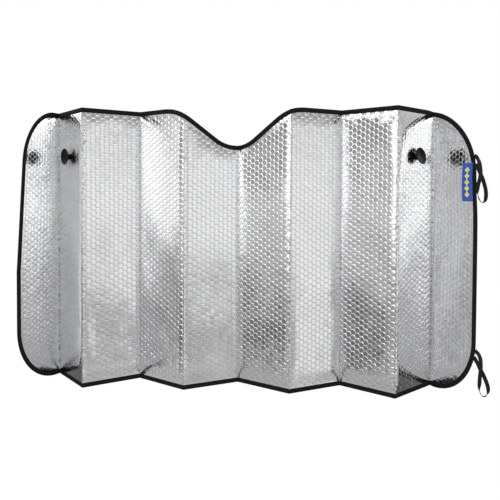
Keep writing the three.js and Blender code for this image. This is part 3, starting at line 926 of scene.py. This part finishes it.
# The side label, a woven tag that lies against the film beside the binding
LABEL_WIDTH = 0.027
LABEL_HEIGHT = 0.077
LABEL_DROP = 0.117
LABEL_LIFT = 0.0014
LABEL_SWELL = 0.0015
LABEL_GAP = 0.0004
LABEL_THICKNESS = 0.0003
LABEL_SWELL_FADE = (0.008, 0.030)


def make_label(material):
    columns, rows = 19, 45
    from_side = BINDING_WIDTH + LABEL_GAP + LABEL_WIDTH * (1 - np.linspace(0, 1, columns))
    heights = SHADE_HEIGHT - LABEL_DROP - LABEL_HEIGHT * (1 - np.linspace(0, 1, rows))
    u, z = np.meshgrid(SHADE_WIDTH - from_side, heights)
    inset, _, _ = inset_from_outline(np.column_stack([u.ravel(), z.ravel()]))
    inset = inset.reshape(u.shape)
    lift = LABEL_LIFT + LABEL_SWELL * smooth(inset, *LABEL_SWELL_FADE) + film_sway(u, z, inset)
    face = fold(u, z, lift)
    back = fold(u, z, lift - LABEL_THICKNESS)
    vertices = np.concatenate([face.reshape(-1, 3), back.reshape(-1, 3)])
    index = np.arange(rows * columns).reshape(rows, columns)
    under = index + rows * columns
    faces = []
    for row in range(rows - 1):
        for column in range(columns - 1):
            corners = [(row, column), (row, column + 1), (row + 1, column + 1), (row + 1, column)]
            faces.append([index[c] for c in corners])
            faces.append([under[c] for c in corners[::-1]])
    rim = [(0, c) for c in range(columns)] + [(r, columns - 1) for r in range(1, rows)]
    rim += [(rows - 1, c) for c in range(columns - 2, -1, -1)]
    rim += [(r, 0) for r in range(rows - 2, 0, -1)]
    for here, after in zip(rim, rim[1:] + rim[:1]):
        faces.append([index[after], index[here], under[here], under[after]])
    mesh = mesh_from("side_label_tag", vertices, faces)
    across = SHADE_WIDTH - BINDING_WIDTH - LABEL_GAP - LABEL_WIDTH / 2
    up = SHADE_HEIGHT - LABEL_DROP - LABEL_HEIGHT / 2
    cloth_places(mesh, np.tile(np.stack([u - across, z - up], axis=-1).reshape(-1, 2), (2, 1)))
    piece = new_object("side_label_tag", mesh, material, smooth_faces=False)
    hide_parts("side_label")
    return piece


# The floor, the light and the surroundings
def ramp_node(nodes, links, value, low, high, tones):
    """A smooth ramp through grey tones, given as (place, tone) between low and high."""
    place = add_node(nodes, "ShaderNodeMapRange")
    place.inputs["From Min"].default_value = low
    place.inputs["From Max"].default_value = high
    links.new(value, place.inputs["Value"])
    ramp = add_node(nodes, "ShaderNodeValToRGB")
    ramp.color_ramp.interpolation = "EASE"
    points = ramp.color_ramp.elements
    points.remove(points[1])
    for index, (at, tone) in enumerate(tones):
        share = (at - low) / (high - low)
        point = points[0] if index == 0 else points.new(share)
        point.position = share
        point.color = (tone, tone, tone, 1)
    links.new(place.outputs["Result"], ramp.inputs["Fac"])
    return ramp.outputs["Color"]


def make_stage():
    """A floor that is white to the camera and keeps a faint shadow. Reflections pass it,
    and show the studio around."""
    reach = 6.0
    corners = [(-reach, -reach, 0), (reach, -reach, 0), (reach, reach, 0), (-reach, reach, 0)]
    floor_mesh = mesh_from("floor", corners, [(0, 1, 2, 3)])
    floor = bpy.data.objects.new("floor", floor_mesh)
    bpy.context.scene.collection.objects.link(floor)
    material, nodes, links, shader = new_material("floor")
    shader.inputs["Base Color"].default_value = (0.9, 0.9, 0.9, 1)
    shader.inputs["Roughness"].default_value = 0.9
    glow = add_node(nodes, "ShaderNodeEmission", Strength=1.03)
    clear = add_node(nodes, "ShaderNodeBsdfTransparent")
    path = add_node(nodes, "ShaderNodeLightPath")
    share = math_node(nodes, links, "MULTIPLY", path.outputs["Is Camera Ray"], 0.93)
    seen = add_node(nodes, "ShaderNodeMixShader")
    links.new(share, seen.inputs["Fac"])
    links.new(shader.outputs[0], seen.inputs[1])
    links.new(glow.outputs[0], seen.inputs[2])
    blend = add_node(nodes, "ShaderNodeMixShader")
    links.new(path.outputs["Is Glossy Ray"], blend.inputs["Fac"])
    links.new(seen.outputs[0], blend.inputs[1])
    links.new(clear.outputs[0], blend.inputs[2])
    links.new(blend.outputs[0], nodes["Material Output"].inputs["Surface"])
    floor_mesh.materials.append(material)


# The studio that the foil mirrors, as tones tuned to the photo's panels. Only glossy rays see
# it. Heights are in degrees above the horizon, and ways round are in degrees from the
# camera's side, growing towards +X. It is a pale table with a dark far edge, walls, and a
# bright ceiling.
HEIGHT_TONES = [
    (-90, 0.22), (-45, 0.13), (-26, 0.42), (-17, 0.52), (-13.5, 0.24), (-8, 0.38), (-4, 0.54),
    (0, 0.58), (5, 0.46), (12, 0.32), (22, 0.40), (45, 1.3), (90, 1.4),
]
# Each card: the tone that it adds or takes away, its two sides and their softness, and its
# foot and head and their softness
STUDIO_CARDS = [
    (1.05, -56, -24, 5, -4, 10, 4),
    (0.55, -14, 2, 4, -2, 9, 4),
    (0.45, -115, -75, 3, -5, 12, 4),
    (-0.24, -73, -58, 4, -19, -12, 3),
    (-0.16, -73, -58, 4, 0, 14, 4),
    (0.10, 5, 32, 6, -20, 8, 4),
    (0.60, 20, 25, 1.5, -20, 10, 4),
    (-0.24, 8, 13.5, 1.5, -20, 10, 4),
    (0.34, 36, 80, 8, -12, 9, 4),
    (0.46, 56, 80, 3, -20, -8, 3),
    (0.40, 100, 200, 15, -8, 30, 6),
    (0.90, -200, -110, 6, -8, 30, 6),
    (-0.38, 90, 200, 6, -32, -12, 3),
    (-0.38, -200, -95, 6, -32, -12, 3),
    (2.80, -75, -20, 4, 15, 44, 4),
    (1.60, 15, 65, 4, 26, 46, 4),
]


def card_tone(nodes, links, around, height, card):
    """One soft-edged card of the studio."""
    tone, left, right, side_soft, foot, head, end_soft = card
    ends = (
        (around, left, side_soft), (around, right, -side_soft),
        (height, foot, end_soft), (height, head, -end_soft),
    )
    for value, place, softness in ends:
        edge = add_node(nodes, "ShaderNodeMapRange", interpolation_type="SMOOTHSTEP")
        edge.inputs["From Min"].default_value = place - softness
        edge.inputs["From Max"].default_value = place + softness
        links.new(value, edge.inputs["Value"])
        tone = math_node(nodes, links, "MULTIPLY", tone, edge.outputs["Result"])
    return tone


def make_world():
    """White to the camera, an even room for the light on the object, and a studio of soft
    tones for what the foil mirrors."""
    world = bpy.data.worlds.new("studio")
    bpy.context.scene.world = world
    world.use_nodes = True
    nodes, links = world.node_tree.nodes, world.node_tree.links
    room = nodes["Background"]
    room.inputs["Color"].default_value = (0.8, 0.8, 0.8, 1)
    place = add_node(nodes, "ShaderNodeTexCoord")
    way = add_node(nodes, "ShaderNodeSeparateXYZ")
    links.new(place.outputs["Generated"], way.inputs["Vector"])
    x, y, z = way.outputs
    to_degrees = 180 / math.pi
    height = math_node(nodes, links, "ARCSINE", z)
    height = math_node(nodes, links, "MULTIPLY", height, to_degrees)
    front = math_node(nodes, links, "MULTIPLY", y, -1.0)
    around = math_node(nodes, links, "ARCTAN2", x, front)
    around = math_node(nodes, links, "MULTIPLY", around, to_degrees)
    tone = ramp_node(nodes, links, height, -90, 90, HEIGHT_TONES)
    for card in STUDIO_CARDS:
        one_card = card_tone(nodes, links, around, height, card)
        tone = math_node(nodes, links, "ADD", tone, one_card)
    studio = add_node(nodes, "ShaderNodeBackground", Strength=1.0)
    links.new(tone, studio.inputs["Color"])
    backdrop = add_node(nodes, "ShaderNodeBackground", Strength=1.0)
    backdrop.inputs["Color"].default_value = (1, 1, 1, 1)
    path = add_node(nodes, "ShaderNodeLightPath")
    lit = add_node(nodes, "ShaderNodeMixShader")
    links.new(path.outputs["Is Glossy Ray"], lit.inputs["Fac"])
    links.new(room.outputs[0], lit.inputs[1])
    links.new(studio.outputs[0], lit.inputs[2])
    blend = add_node(nodes, "ShaderNodeMixShader")
    links.new(path.outputs["Is Camera Ray"], blend.inputs["Fac"])
    links.new(lit.outputs[0], blend.inputs[1])
    links.new(backdrop.outputs[0], blend.inputs[2])
    links.new(blend.outputs[0], nodes["World Output"].inputs["Surface"])


def make_lamp(name, place, aim, size, power):
    data = bpy.data.lights.new(name, "AREA")
    data.shape = "RECTANGLE"
    data.size, data.size_y = size
    data.energy = power
    lamp = bpy.data.objects.new(name, data)
    lamp.location = place
    way = Vector(aim) - Vector(place)
    lamp.rotation_euler = way.to_track_quat("-Z", "Y").to_euler()
    lamp.visible_glossy = False
    bpy.context.scene.collection.objects.link(lamp)


make_camera()
elastic = elastic_material()
for loop_name, loop_route in LOOP_ROUTES.items():
    make_loop(loop_name, loop_route, elastic)
foil = foil_material()
front = make_skin("foil_front", 1, 11, 0.0, BUBBLE_HEIGHT, foil)
back = make_skin("foil_back", -1, 12, 0.4, 0.6 * BUBBLE_HEIGHT, foil)
tape = tape_material()
binding = make_binding(tape)
stitches = make_stitches(tape)
edge, _ = outline_points(OUTLINE_STEP)
vinyl = vinyl_material()
make_cup("suction_cup_left", "cup_left", CUP_PLACES[0], 0.0, math.radians(4), vinyl)
make_cup("suction_cup_right", "cup_right", CUP_PLACES[1], math.radians(12), 0.0, vinyl)
label = make_label(label_material())
label.visible_glossy = False  # the photo's foil mirrors no label
make_stage()
make_world()
make_lamp("key", (-1.6, -2.2, 2.4), (0, 0, 0.3), (1.6, 1.2), 40)
make_lamp("fill", (2.2, -2.0, 1.6), (0, 0, 0.3), (1.5, 1.5), 20)

bpy.context.scene.view_settings.view_transform = "Standard"
